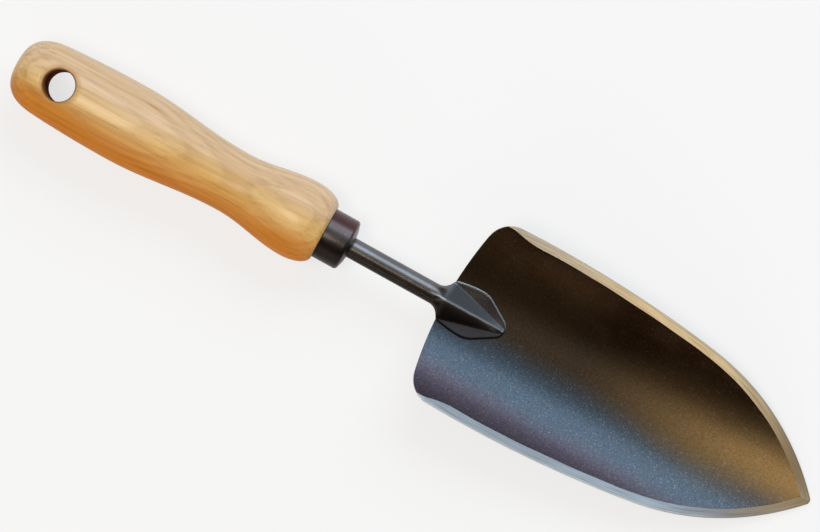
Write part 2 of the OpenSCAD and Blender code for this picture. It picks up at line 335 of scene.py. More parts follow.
def buildShank():
    # each cross-section is a half loop from the bottom to the top: sole, leaf edge, leaf top, ridge
    # flank; over the flare it blends from the rod's circle
    nA, nB, nC, nD = 14, 6, 12, 22
    tangRows, rodRows, flareRows, leafRows = 12, 22, 30, 90
    tangX = shankLow[0]
    flareX = heelX - shank["flare"]
    leafX = heelX + 1.5 * mm
    stations = np.concatenate([
        [tangX, tangX, tangX + shank["tipChamfer"]],
        np.linspace(tangX + 4 * mm, spigotX - 0.1 * mm, tangRows),
        [spigotX, spigotX, spigotX + shank["rodChamfer"]],
        np.linspace(spigotX + 2 * mm, flareX - 0.5 * mm, rodRows),
        np.linspace(flareX, leafX, flareRows),
        leafX + (heelX + leafLen - leafX) * np.sin(np.linspace(0, np.pi / 2, leafRows)[1:])])
    rodStart = 3 + tangRows + 1  # the second of the two rows where the tang ends
    radii = np.interp(stations, [tangX, spigotX], [shank["tangTipR"], shank["tangRootR"]])
    radii[stations > spigotX] = rodR
    radii[0] = 0
    radii[1] = shank["tangTipR"] - shank["tipChamfer"]
    radii[rodStart] = rodR - shank["rodChamfer"]
    x = stations[:, None]
    beyond = x - heelX
    half = leafHalfWidth(beyond)
    ridge = np.interp(beyond, [0, shank["ridgeEnd"]], [shank["heelHalf"], shank["ridgeEndHalf"]])
    ridge = np.minimum(ridge, half * shank["ridgeShare"])
    endZ = dishHeight(heelX + shank["ridgeEnd"], 0, shank["leaf"]) + shank["ridgeEndRise"]
    crest = np.interp(beyond, [0, shank["ridgeEnd"]], [axisZ + rodR, endZ])
    crest = np.maximum(crest, dishHeight(x, 0 * x, shank["leaf"]) + shank["leastRise"])
    edge = np.minimum(shank["leafEdge"], half * 0.3)
    # sole
    yA = half * np.linspace(0, 1, nA, endpoint=False)
    zA = dishHeight(x, yA, 0)
    # rounded leaf edge
    b = np.linspace(0, np.pi / 2, nB)
    yB = half - edge * (1 - np.cos(b))
    zB = dishHeight(x, half, 0) * (1 - np.sin(b)) + dishHeight(x, half - edge, shank["leaf"]) * np.sin(b)
    # leaf top
    c = np.linspace(0, 1, nC + 1)[1:]
    yC = (half - edge) + (np.minimum(ridge, half - edge) - (half - edge)) * c
    zC = dishHeight(x, yC, shank["leaf"])
    # ridge flank: straight, with a rounded crest and closer columns towards it
    d = np.linspace(0, 1, nD + 1)[1:] ** 0.8
    foot = np.minimum(ridge, half - edge)
    yD = foot * (1 - d)
    footZ = dishHeight(x, foot, shank["leaf"])
    slope = (crest - footZ) / np.maximum(foot, micron)
    soft = shank["crestR"] * np.minimum(1, (crest - footZ) / shank["crestFade"])
    roof = crest + soft - np.sqrt(soft * soft + (slope * yD) ** 2)
    lift = (crest + soft - np.sqrt(soft * soft + (slope * foot) ** 2)) - footZ
    zD = roof - lift * (yD / np.maximum(foot, micron))
    halfY = np.concatenate([yA, yB, yC, yD], axis=1)
    halfZ = np.concatenate([zA, zB, zC, zD], axis=1)
    # the rod's circle with the same number of points; the leaf's parts start at these angles on it
    soleEnd, edgeEnd, leafEnd = -38, -14, 8
    angle = np.concatenate([np.linspace(-90, soleEnd, nA, endpoint=False), np.linspace(soleEnd, edgeEnd, nB),
                            np.linspace(edgeEnd, leafEnd, nC + 1)[1:], np.linspace(leafEnd, 90, nD + 1)[1:]])
    angle = np.radians(angle)
    ringY = radii[:, None] * np.cos(angle)
    ringZ = axisZ + radii[:, None] * np.sin(angle)
    t = np.clip((x - flareX) / shank["flare"], 0, 1)
    spread = t ** shank["spreadPower"]
    rise = ease(t)
    halfY = ringY + (halfY - ringY) * spread
    halfZ = ringZ + (halfZ - ringZ) * rise
    y = np.concatenate([halfY, -halfY[:, ::-1]], axis=1)
    z = np.concatenate([halfZ, halfZ[:, ::-1]], axis=1)
    grid = np.stack([np.broadcast_to(x, y.shape), y, z], axis=2)
    return makePiece("forged_shank", [(grid, 0)], "shank")


# weld run round the leaf
weld = {
    "width": 0.55 * mm, "height": 0.6 * mm,
    "ripple": 0.08, "pitch": 1.1 * mm,  # share of the size, and length of one ripple
    "start": 0.2 * mm,  # beyond the heel
    "noseFrom": 19 * mm,  # where the points draw closer for the nose
    "endFade": 0.8 * mm,  # over which it thins out at its two ends
    "hollow": 1.5,  # above 1, the face is hollow
}


def buildWeld():
    # a fillet section carried round the leaf's outline, with a slow ripple along it
    noseFrom = weld["noseFrom"]
    beyond = np.concatenate([np.linspace(weld["start"], noseFrom, 90),
                             noseFrom + (leafLen - noseFrom) * np.sin(np.linspace(0, np.pi / 2, 60))[1:]])
    half = leafHalfWidth(beyond)
    path = np.concatenate([np.stack([beyond, half], 1), np.stack([beyond, -half], 1)[::-1][1:]])
    out = np.gradient(path, axis=0)
    length = np.concatenate([[0], np.cumsum(np.linalg.norm(np.diff(path, axis=0), axis=1))])
    out = np.stack([-out[:, 1], out[:, 0]], 1) / np.linalg.norm(out, axis=1)[:, None]
    q = np.linspace(0, 1, 7)
    swell = 1 + weld["ripple"] * np.sin(2 * np.pi * length / weld["pitch"])[:, None]
    fade = np.minimum(1, np.minimum(length, length[-1] - length) / weld["endFade"])[:, None]
    size = swell * np.maximum(fade, 0.02)
    width, height = weld["width"] * size, weld["height"] * size
    # section: from the leaf's wall down a slightly hollow face to the toe, and back under
    off = np.concatenate([width * q, width * (1 - q[1:])], axis=1)
    lift = np.concatenate([height * (1 - q) ** weld["hollow"], 0 * height * q[1:]], axis=1)
    off[:, 0] = 0
    off = np.concatenate([off, off[:, :1]], axis=1)
    lift = np.concatenate([lift, lift[:, :1]], axis=1)
    px = heelX + path[:, 0:1] + out[:, 0:1] * off
    py = path[:, 1:2] + out[:, 1:2] * off
    grid = np.stack([px, py, dishHeight(px, py, lift)], axis=2)
    caps = []
    for end in (0, -1):
        ring = grid[end]
        centre = np.broadcast_to(ring.mean(axis=0), ring.shape)
        caps.append((np.stack([ring, centre]), 0))
    return makePiece("weld_run", [(grid, 0)] + caps, "leaf_weld")


# handle
handle = {
    "swellR": 15.5 * mm, "swellAt": 46 * mm,
    "buttR": 13.2 * mm, "buttRound": 16 * mm, "buttFull": 3,
    "waistR": 12.05 * mm, "waistBack": 39 * mm,
    "bulbR": 15.4 * mm, "bulbBack": 10.7 * mm, "shoulderStep": 0.4 * mm,
    "holeAt": 18.8 * mm, "holeR": 6 * mm, "rim": 2.6 * mm,
    "patch": 10.2 * mm,  # half the length of the window round the hole
    "spigotIn": 1.05 * mm,  # from the ferrule's outside to the spigot
    "around": 160,  # columns; a window takes a quarter of them
    "buttRows": 23, "windowRows": 27, "gripRows": 96, "shoulderRows": 22,
    "fillRows": 12, "rimRows": 12, "boreRows": 8,
}


def handleRadius(d):
    # radius of the wood d from the butt: a rounded butt on a parabola up to the swell, half waves
    # to the waist and the bulb, and a quarter ellipse down to the ferrule
    h = handle
    u = np.clip(1 - d / h["buttRound"], 0, 1)
    butt = (1 - u ** h["buttFull"]) ** (1 / h["buttFull"])
    swell = (h["swellR"] - (h["swellR"] - h["buttR"]) * ((h["swellAt"] - d) / h["swellAt"]) ** 2) * butt
    waistAt, bulbAt = handleLen - h["waistBack"], handleLen - h["bulbBack"]
    grip = h["swellR"] + (h["waistR"] - h["swellR"]) * ease((d - h["swellAt"]) / (waistAt - h["swellAt"]))
    bulb = h["waistR"] + (h["bulbR"] - h["waistR"]) * ease((d - waistAt) / (bulbAt - waistAt))
    endR = ferruleHigh[1] + h["shoulderStep"]
    turn = np.clip((d - bulbAt) / h["bulbBack"], 0, 1)
    shoulder = endR + (h["bulbR"] - endR) * np.sqrt(1 - turn ** 2)
    return np.where(d < h["swellAt"], swell,
                    np.where(d < waistAt, grip, np.where(d < bulbAt, bulb, shoulder)))


def buildHandle():
    # the outside is a turned grid with two square windows, each filled with rings that run from the
    # window to the hanging hole, over its rounded rim and halfway down the bore
    h = handle
    around = h["around"]
    winLow, winHigh = h["holeAt"] - h["patch"], h["holeAt"] + h["patch"]
    butt = winLow * np.linspace(0, 1, h["buttRows"]) ** 2.2  # closer rows at the butt's end
    window = np.linspace(winLow, winHigh, h["windowRows"])
    turn = np.sin(np.linspace(0, np.pi / 2, h["shoulderRows"]))
    bulbAt = handleLen - h["bulbBack"]
    d = np.concatenate([butt, window[1:], np.linspace(winHigh, bulbAt, h["gripRows"])[1:],
                        bulbAt + h["bulbBack"] * turn[1:]])
    outside = turnedGrid(np.stack([buttX + d, handleRadius(d)], axis=1), around)
    rowA, rowB = len(butt) - 1, len(butt) - 1 + len(window) - 1
    colA = around // 8
    # outside without its windows, as plain patches: rows before, between and after
    patches = [(outside[:rowA + 1], 0), (outside[rowB:], 0)]
    band = outside[rowA:rowB + 1]
    halfTurn = around // 2
    patches += [(band[:, colA:halfTurn - colA + 1], 0), (band[:, halfTurn + colA:around - colA + 1], 0)]
    # the window's border at the top, once round
    cols = np.arange(-colA, colA + 1)
    angle = 2 * np.pi * cols / around
    rows = d[rowA:rowB + 1]
    border = np.concatenate([
        np.stack([np.full(len(cols), rows[0]), angle], 1)[:-1],
        np.stack([rows, np.full(len(rows), angle[-1])], 1)[:-1],
        np.stack([np.full(len(cols), rows[-1]), angle[::-1]], 1)[:-1],
        np.stack([rows[::-1], np.full(len(rows), angle[0])], 1)])
    borderY = handleRadius(border[:, 0]) * np.sin(border[:, 1])
    phi = np.arctan2(borderY, border[:, 0] - h["holeAt"])
    openR = h["holeR"] + h["rim"]
    rings = []
    for f in np.linspace(0, 1, h["fillRows"]):
        px = border[:, 0] * (1 - f) + (h["holeAt"] + openR * np.cos(phi)) * f
        py = borderY * (1 - f) + openR * np.sin(phi) * f
        rings.append(np.stack([px, py, np.sqrt(handleRadius(px) ** 2 - py ** 2)], 1))
    # rim: a parabola from the surface to the bore's wall, tangent to both
    rimTop = rings[-1]
    wallX, wallY = h["holeAt"] + h["holeR"] * np.cos(phi), h["holeR"] * np.sin(phi)
    cornerP = np.stack([wallX, wallY, np.sqrt(handleRadius(wallX) ** 2 - wallY ** 2)], 1)
    wallP = cornerP - [0, 0, h["rim"]]
    for f in np.linspace(0, 1, h["rimRows"] + 1)[1:]:
        rings.append(rimTop * (1 - f) ** 2 + cornerP * 2 * f * (1 - f) + wallP * f * f)
    for f in np.linspace(0, 1, h["boreRows"] + 1)[1:]:
        rings.append(wallP * [1, 1, 1 - f])
    fill = np.stack(rings)
    fill[..., 0] += buttX
    bored = np.zeros((fill.shape[0] - 1, fill.shape[1] - 1), dtype=int)
    bored[-h["boreRows"]:] = 1
    for side in (1, -1):
        patches.append((fill * [1, 1, side] + [0, 0, axisZ], bored))
    # shoulder, spigot and the drilled tang hole
    spigotR = ferruleHigh[1] - h["spigotIn"]
    boreR = (resinHigh[1] - resinLow[1]) / 2
    inside = np.array([[shoulderX, ferruleHigh[1] + h["shoulderStep"]], [shoulderX, spigotR],
                       [spigotX, spigotR], [spigotX, boreR], [resinLow[0], boreR], [resinLow[0], 0]])
    patches.append((turnedGrid(inside, around), 0))
    return makePiece("turned_handle", patches, "handle")


# ferrule
ferrule = {
    "wall": 1.0 * mm, "face": 1.2 * mm,
    "corner": 1.5 * mm, "dome": 1.0 * mm,
    "rodGap": 0.15 * mm, "backRound": 0.3 * mm, "lip": 0.35 * mm,
    "lipBack": 0.02 * mm, "domeBack": 0.12 * mm,  # how far the lip and the dome stop short of the front
}


def buildFerrule():
    # a closed profile turned about the axis: skirt, rounded corner, domed face, lip and hollow
    f = ferrule
    r = ferruleHigh[1]
    front = ferruleHigh[0] - f["dome"]
    q = np.linspace(0, np.pi / 2, 12)[:, None]
    back = np.hstack([shoulderX + f["backRound"] * (1 - np.sin(q)), r - f["backRound"] * (1 - np.cos(q))])
    back = back[::-1]
    corner = np.hstack([front - f["corner"] * (1 - np.sin(q)), r - f["corner"] * (1 - np.cos(q))])
    boreR = rodR + f["rodGap"]
    lipR = boreR + f["lip"]
    domeT = np.linspace(0, 1, 10)[1:, None]
    domeR = (r - f["corner"]) + (lipR - r + f["corner"]) * domeT
    domeX = front + (f["dome"] - f["domeBack"]) * np.sin(domeT * np.pi / 2)
    lip = np.hstack([ferruleHigh[0] - f["lip"] * (1 - np.cos(q)), lipR - f["lip"] * np.sin(q)])
    lip[:, 0] -= f["lipBack"]
    hollow = np.array([[front - f["face"], boreR], [front - f["face"], r - f["wall"]],
                       [shoulderX, r - f["wall"]]])
    profile = np.concatenate([back, corner, np.hstack([domeX, domeR]), lip, hollow, back[:1]])
    return makePiece("drawn_ferrule", [(turnedGrid(profile, 96), 0)], "ferrule")


bladePiece = buildBlade()
shankPiece = buildShank()
weldPiece = buildWeld()
handlePiece = buildHandle()
ferrulePiece = buildFerrule()
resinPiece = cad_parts["tang_resin"]
print("pieces made")


# finishes
class Wire:
    # a socket whose arithmetic adds Math nodes
    def __init__(self, finish, out):
        self.finish, self.out = finish, out

    def maths(self, operation, first, second=0.0):
        return self.finish.add("ShaderNodeMath", {"operation": operation}, {0: first, 1: second})

    def __add__(self, other):
        return self.maths("ADD", self, other)

    def __radd__(self, other):
        return self.maths("ADD", other, self)

    def __sub__(self, other):
        return self.maths("SUBTRACT", self, other)

    def __rsub__(self, other):
        return self.maths("SUBTRACT", other, self)

    def __mul__(self, other):
        return self.maths("MULTIPLY", self, other)

    def __pow__(self, other):
        return self.maths("POWER", self, other)

    def band(self, low, high):
        # 0 below low and 1 above high, smooth between
        return self.finish.add("ShaderNodeMapRange", {"interpolation_type": "SMOOTHSTEP"},
                               {"Value": self, "From Min": low, "From Max": high})

    def size(self):
        return self.maths("ABSOLUTE", self)


class Finish:
    # a material and its one way of adding a node
    def __init__(self, name):
        self.material = bpy.data.materials.new(name)
        self.material.use_nodes = True
        self.tree = self.material.node_tree
        self.tree.nodes.clear()

    def add(self, kind, settings, sockets, output=0):
        node = self.tree.nodes.new(kind)
        for key, value in settings.items():
            setattr(node, key, value)
        for key, value in sockets.items():
            if isinstance(value, Wire):
                self.tree.links.new(value.out, node.inputs[key])
            else:
                node.inputs[key].default_value = value
        return Wire(self, node.outputs[output]) if len(node.outputs) else None

    def split(self, vector):
        node = self.add("ShaderNodeSeparateXYZ", {}, {"Vector": vector}).out.node
        return [Wire(self, out) for out in node.outputs]

    def place(self):
        return self.add("ShaderNodeTexCoord", {}, {}, "Object")

    def mapped(self, place, scale, at=(0, 0, 0), turn=(0, 0, 0)):
        return self.add("ShaderNodeMapping", {},
                        {"Vector": place, "Scale": scale, "Location": at, "Rotation": turn})

    def noise(self, place, scale, detail=3.0, rough=0.5, distortion=0.0):
        return self.add("ShaderNodeTexNoise", {"noise_dimensions": "3D"},
                        {"Vector": place, "Scale": scale, "Detail": detail, "Roughness": rough,
                         "Distortion": distortion})

    def mix(self, factor, a, b, blend="MIX"):
        # sockets 6 and 7 are the node's two colours, and its output 2 is the mixed one
        first, second = [c if isinstance(c, Wire) else (*c, 1) for c in (a, b)]
        return self.add("ShaderNodeMix", {"data_type": "RGBA", "blend_type": blend},
                        {0: factor, 6: first, 7: second}, 2)

    def bump(self, height, values):
        return self.add("ShaderNodeBump", {}, {"Height": height, "Distance": values["bump"],
                                               "Strength": values["bumpStrength"]})

    def surface(self, **sockets):
        # the finished material; a socket's name is written with _ for each space
        named = {key.replace("_", " "): value for key, value in sockets.items()}
        for key, value in named.items():
            if "Color" in key:
                named[key] = value if isinstance(value, Wire) else (*value, 1)
        shader = self.add("ShaderNodeBsdfPrincipled", {}, named)
        self.add("ShaderNodeOutputMaterial", {}, {"Surface": shader})
        return self.material


# Below, ...Shows is the range of a noise over which a mark comes in, ...From and ...Along are ranges of
# places, and ...Share is how strongly it covers.
wood = {
    "pale": (0.80, 0.55, 0.24), "honey": (0.72, 0.45, 0.15),
    # the two sides of the handle: painted shade in deep amber and a painted highlight in pale blush
    "shadeAmber": (0.64, 0.205, 0.001), "highlightBlush": (0.74, 0.53, 0.36),
    "ringTint": (0.56, 0.40, 0.26), "fibreTint": (0.46, 0.34, 0.26),  # what the grain is multiplied by
    # painted shade round the hanging hole
    "rimShadeAmber": (0.45, 0.21, 0.05), "holeShade": (0.20, 0.07, 0.02),
    # the bore's dark brown is painted shade
    "boreShadeDark": (0.24, 0.090, 0.030), "boreShadeLight": (0.42, 0.185, 0.068),
    "treeAt": (0.03, 0.012, 0.020), "treeTurn": (0, 0.085, 0.05),  # where the tree's centre runs
    "ringPitch": 3.2 * mm, "ringOval": 1.5, "ringWarp": 2.2, "ringTaper": 6,
    "ringDarkens": (0.25, 0.85), "ringEnds": (0.88, 1.0),  # parts of one ring
    "warpScale": (9, 60, 60), "slowScale": (14, 90, 90), "fibreScale": (26, 900, 900),
    "streakScale": (7, 330, 330), "poreScale": (90, 2300, 2300), "boreScale": (60, 600, 900),
    "slowShows": (0.3, 0.7), "grainShows": (0.42, 0.72), "poreShows": (0.60, 0.74),
    "poreLeast": 0.35, "poreLate": 0.65,  # share of the pores outside the late wood, and what it adds
    "ringShare": 0.20, "streakShare": 0.26, "fibreShare": 0.28, "poreShare": 0.40,
    "drift": 6 * mm,  # how far the borders of the painted shade, the painted highlight and the coat wander
    "shadeAmberFrom": (-13.5 * mm, 0.0), "shadeAmberShare": 0.95,
    "highlightBlushFrom": (-4 * mm, 8 * mm), "highlightBlushShare": 0.72,
    "rimStart": 0.6 * mm, "rimPast": 0.8 * mm, "rimShare": 0.35,
    "holeShadeWidth": 0.8 * mm, "holeShadeShare": 0.85,
    "coatFrom": (-12 * mm, 0.0), "coatGap": 1.2 * mm, "coat": 0.4, "coatRough": 0.25,
    "rough": 0.46, "fibreRough": 0.12, "gloss": 0.12,
    "boreRough": 0.75, "boreFibreRough": 0.15,
    "bump": 0.05 * mm, "bumpStrength": 0.5,
}


def woodFinish():
    w = wood
    f = Finish("lacquered_ash")
    place = f.place()
    x, y = f.split(place)[:2]
    # the tree's centre runs beside the handle at a small slant, so the rings cut ovals on the bulb
    warp = f.noise(f.mapped(place, w["warpScale"]), 1.0, 2.0)
    along, side, up = f.split(f.mapped(place, (1, 1, 1), at=w["treeAt"], turn=w["treeTurn"]))
    fromTree = (side * side + up * up * w["ringOval"]) ** 0.5
    rings = fromTree * (1 / w["ringPitch"]) + warp * w["ringWarp"] + along * w["ringTaper"]
    cycle = f.add("ShaderNodeMath", {"operation": "FRACT"}, {0: rings})
    late = cycle.band(*w["ringDarkens"]) * (1 - cycle.band(*w["ringEnds"]))
    # fine lengthwise fibres, streaks and pores
    fibres = f.noise(f.mapped(place, w["fibreScale"]), 1.0, 4.0, 0.6)
    streaks = f.noise(f.mapped(place, w["streakScale"], at=(1, 4, 2)), 1.0, 3.0, 0.6)
    pores = f.noise(f.mapped(place, w["poreScale"]), 1.0, 2.0, 0.5)
    flecks = pores.band(*w["poreShows"]) * (w["poreLeast"] + late * w["poreLate"])
    slow = f.noise(f.mapped(place, w["slowScale"], at=(3, 1, 2)), 1.0, 2.0)
    colour = f.mix(slow.band(*w["slowShows"]), w["honey"], w["pale"])
    # painted shade makes one side of the handle deep amber, and a painted highlight makes the other side pale
    across = y + (slow - 0.5) * w["drift"]
    colour = f.mix((1 - across.band(*w["shadeAmberFrom"])) * w["shadeAmberShare"], colour, w["shadeAmber"])
    colour = f.mix(across.band(*w["highlightBlushFrom"]) * w["highlightBlushShare"], colour, w["highlightBlush"])
    colour = f.mix(late * w["ringShare"], colour, w["ringTint"], "MULTIPLY")
    colour = f.mix(streaks.band(*w["grainShows"]) * w["streakShare"], colour, w["ringTint"], "MULTIPLY")
    colour = f.mix(fibres.band(*w["grainShows"]) * w["fibreShare"], colour, w["fibreTint"], "MULTIPLY")
    colour = f.mix(flecks * w["poreShare"], colour, w["fibreTint"], "MULTIPLY")
    # the hole's rim: painted shade, a darker amber ring over the rim and dark brown next to the bore
    off = x - (buttX + handle["holeAt"])
    radial = (off * off + y * y) ** 0.5
    holeR = handle["holeR"]
    ring = 1 - radial.band(holeR + w["rimStart"], holeR + handle["rim"] + w["rimPast"])
    colour = f.mix(ring * w["rimShare"], colour, w["rimShadeAmber"])
    holeShade = 1 - radial.band(holeR, holeR + w["holeShadeWidth"])
    colour = f.mix(holeShade * w["holeShadeShare"], colour, w["holeShade"])
    coat = across.band(*w["coatFrom"]) * radial.band(holeR, holeR + w["coatGap"]) * w["coat"]
    height = fibres * 0.5 + late * 0.3 - flecks * 0.6
    return f.surface(Base_Color=colour, Roughness=w["rough"] + fibres * w["fibreRough"],
                     Normal=f.bump(height, w),
                     Coat_Weight=coat, Coat_Roughness=w["coatRough"], Specular_IOR_Level=w["gloss"])


def boreFinish():
    # raw wood inside the hanging hole, coloured dark brown as painted shade
    w = wood
    f = Finish("bored_wood")
    fibres = f.noise(f.mapped(f.place(), w["boreScale"]), 1.0, 3.0, 0.6)
    return f.surface(Base_Color=f.mix(fibres.band(*w["slowShows"]), w["boreShadeDark"], w["boreShadeLight"]),
                     Roughness=w["boreRough"] + fibres * w["boreFibreRough"],
                     Normal=f.bump(fibres, w), Specular_IOR_Level=0.0)


bronze = {
    # the blue is a painted reflection
    "deep": (0.011, 0.0050, 0.0020), "brown": (0.030, 0.017, 0.008), "reflectedBlue": (0.057, 0.084, 0.115),
    "reflectedPlum": (0.100, 0.074, 0.100), "gold": (0.235, 0.150, 0.060), "spine": (0.062, 0.045, 0.030),
    "bright": (0.30, 0.30, 0.31),
    "cloudScale": (22, 34, 34), "grainScale": 1300.0, "coarseScale": 620.0, "sparkScale": 1450.0,
    "drift": 12 * mm,  # how far the borders of the temper colours and the painted reflections wander
    "middle": 1 * mm,  # how far the spine lies to the side
    "cloudShows": (0.35, 0.7), "grainShows": (0.38, 0.72), "sparkShows": (0.55, 0.72),
    "spineFrom": (3 * mm, 19 * mm), "spineShare": 0.75,
    "strawAlong": (65 * mm, 160 * mm), "strawFrom": (3 * mm, 25 * mm),
    "reflectedBlueFrom": (-16 * mm, 1 * mm), "reflectedBlueStraw": 0.5,  # what the straw takes from the painted blue reflection
    "reflectedPlumFrom": (-29 * mm, -19 * mm), "reflectedPlumShare": 0.85,
    "grainShare": 0.34,
    "sparkFrom": (-14 * mm, 4 * mm), "sparkLeast": 0.05, "sparkGlintSide": 0.28, "sparkGlintStraw": 0.18,
    "hairs": ((280, (0, 0, 0), 0.5, 0.68), (300, (2, 1, 0), -0.9, 0.69)),  # pace, place, turn, shows from
    "hairAcross": 1300, "hairFull": 0.76, "hairAlong": (50 * mm, 140 * mm), "hairLeast": 0.06,
    "hairStraw": 0.24,
    "rough": 0.36, "grainRough": 0.12, "cloudRough": 0.05,
    "bump": 0.07 * mm, "bumpStrength": 0.55,
    "coatFrom": (-20 * mm, 4 * mm), "coat": 0.22, "coatRough": 0.2,
}


def sheetFinish():
    # tempered sheet: steel blue and plum on one side of the dish as a painted reflection, near black on the
    # other, straw towards the tip that is partly temper colour and partly painted reflection, all under a
    # fine speckle and a few hairline scratches
    w = bronze
    f = Finish("bronzed_sheet")
    place = f.place()
    x, y = f.split(place)[:2]
    clouds = f.noise(f.mapped(place, w["cloudScale"], at=(1, 2, 3)), 1.0, 3.0, 0.55)
    across = y + (clouds - 0.5) * w["drift"]
    offSpine = (across + w["middle"]).size()
    colour = f.mix(clouds.band(*w["cloudShows"]), w["deep"], w["brown"])
    colour = f.mix((1 - offSpine.band(*w["spineFrom"])) * w["spineShare"], colour, w["spine"])
    # straw towards the tip: partly temper colour, partly painted reflection
    strawAndReflection = x.band(*w["strawAlong"]) * (1 - offSpine.band(*w["strawFrom"]))
    colour = f.mix(strawAndReflection, colour, w["gold"])
    # painted reflection: steel blue on the -y side of the dish, less where the straw is
    colour = f.mix((1 - across.band(*w["reflectedBlueFrom"])) * (1 - strawAndReflection * w["reflectedBlueStraw"]), colour, w["reflectedBlue"])
    # painted reflection: plum along the far -y edge
    colour = f.mix((1 - across.band(*w["reflectedPlumFrom"])) * w["reflectedPlumShare"], colour, w["reflectedPlum"])
    grain = f.noise(place, w["grainScale"], 3.0, 0.75)
    coarse = f.noise(f.mapped(place, (1, 1, 1), at=(0.4, 0.2, 0)), w["coarseScale"], 2.0, 0.5)
    spark = f.noise(place, w["sparkScale"], 2.0, 0.7).band(*w["sparkShows"])
    colour = f.mix(grain.band(*w["grainShows"]) * w["grainShare"], colour, w["deep"])
    # the speckle is the sheet's own; its extra strength on the blue side and at the straw is painted glint
    spread = w["sparkLeast"] + (1 - across.band(*w["sparkFrom"])) * w["sparkGlintSide"] + strawAndReflection * w["sparkGlintStraw"]
    colour = f.mix(spark * spread, colour, w["bright"])
    hairs = []
    for pace, at, turn, low in w["hairs"]:
        scale = (pace, w["hairAcross"], w["hairAcross"])
        hair = f.noise(f.mapped(place, scale, at=at, turn=(0, 0, turn)), 1.0, 1.0, 0.5, 0.6)
        hairs.append(hair.band(low, w["hairFull"]))
    bare = x.band(*w["hairAlong"]) * (w["hairLeast"] + strawAndReflection * w["hairStraw"])
    colour = f.mix((hairs[0] + hairs[1]) * bare, colour, w["bright"])
    shine = 1 - across.band(*w["coatFrom"])
    return f.surface(Base_Color=colour, Metallic=1.0,
                     Roughness=w["rough"] + grain * w["grainRough"] + clouds * w["cloudRough"],
                     Normal=f.bump(grain * 0.5 + coarse * 0.5, w),
                     Coat_Weight=shine * w["coat"], Coat_Roughness=w["coatRough"])


bar = {
    # the maroon is a painted reflection
    "black": (0.014, 0.007, 0.004), "brown": (0.040, 0.029, 0.024), "reflectedMaroon": (0.080, 0.012, 0.014),
    # painted highlight and painted light colours
    "paleHighlight": (0.34, 0.38, 0.42), "litFacet": (0.115, 0.135, 0.160), "highlightGrey": (0.24, 0.26, 0.29),
    "shade": (0.010, 0.007, 0.005),
    "cloudScale": (60, 110, 110), "grainScale": 1400.0, "sparkScale": 1700.0,
    "cloudShows": (0.35, 0.65), "sparkShows": (0.68, 0.78), "sparkShare": 0.3,
    "reflectedMaroonFrom": (1 * mm, 6 * mm), "reflectedMaroonEnds": 4 * mm, "reflectedMaroonShare": 0.6,  # painted reflection along the +y side, ending before the heel
    "rodAt": 2.0 * mm, "rodFrom": (0.4 * mm, 2.2 * mm),  # painted highlight streak along the rod
    "cupAt": 4.0 * mm, "cupFrom": (0.8 * mm, 4.2 * mm), "cupShare": 0.25,  # and on the ferrule
    "streakEnds": (8 * mm, 2 * mm), "streakLeast": 0.25, "streakClouds": 0.7,
    "shadedSideFrom": (-4 * mm, 1 * mm), "shadedSideEnds": 6 * mm, "shadedSideShare": 0.75,
    "ridgeFoot": 0.5 * mm, "ridgeStarts": (4 * mm, 1 * mm), "wander": 1.2 * mm,
    "litFacetFrom": (0.0, 0.6 * mm), "shadedFacetFrom": (-0.8 * mm, -0.1 * mm), "ridgeShare": 0.8,
    "flangeEdge": 0.4 * mm, "flangeStarts": 1 * mm, "flangeFrom": (-1 * mm, 0.0), "flangeShare": 0.3,
    "crestAt": 0.1 * mm, "crestFrom": (0.1 * mm, 0.6 * mm), "crestUp": (8.5 * mm, 9.5 * mm),
    "crestLeast": 0.45, "crestClouds": 0.6,
    "lustreFrom": (-3 * mm, 2 * mm), "lustreLeast": 0.45, "lustreRod": 0.4,
    "metal": 0.6, "shadedSideMetal": 0.3, "rough": 0.33, "grainRough": 0.16,
    "bump": 0.05 * mm, "bumpStrength": 0.5, "coatRough": 0.22, "gloss": 0.35,
}


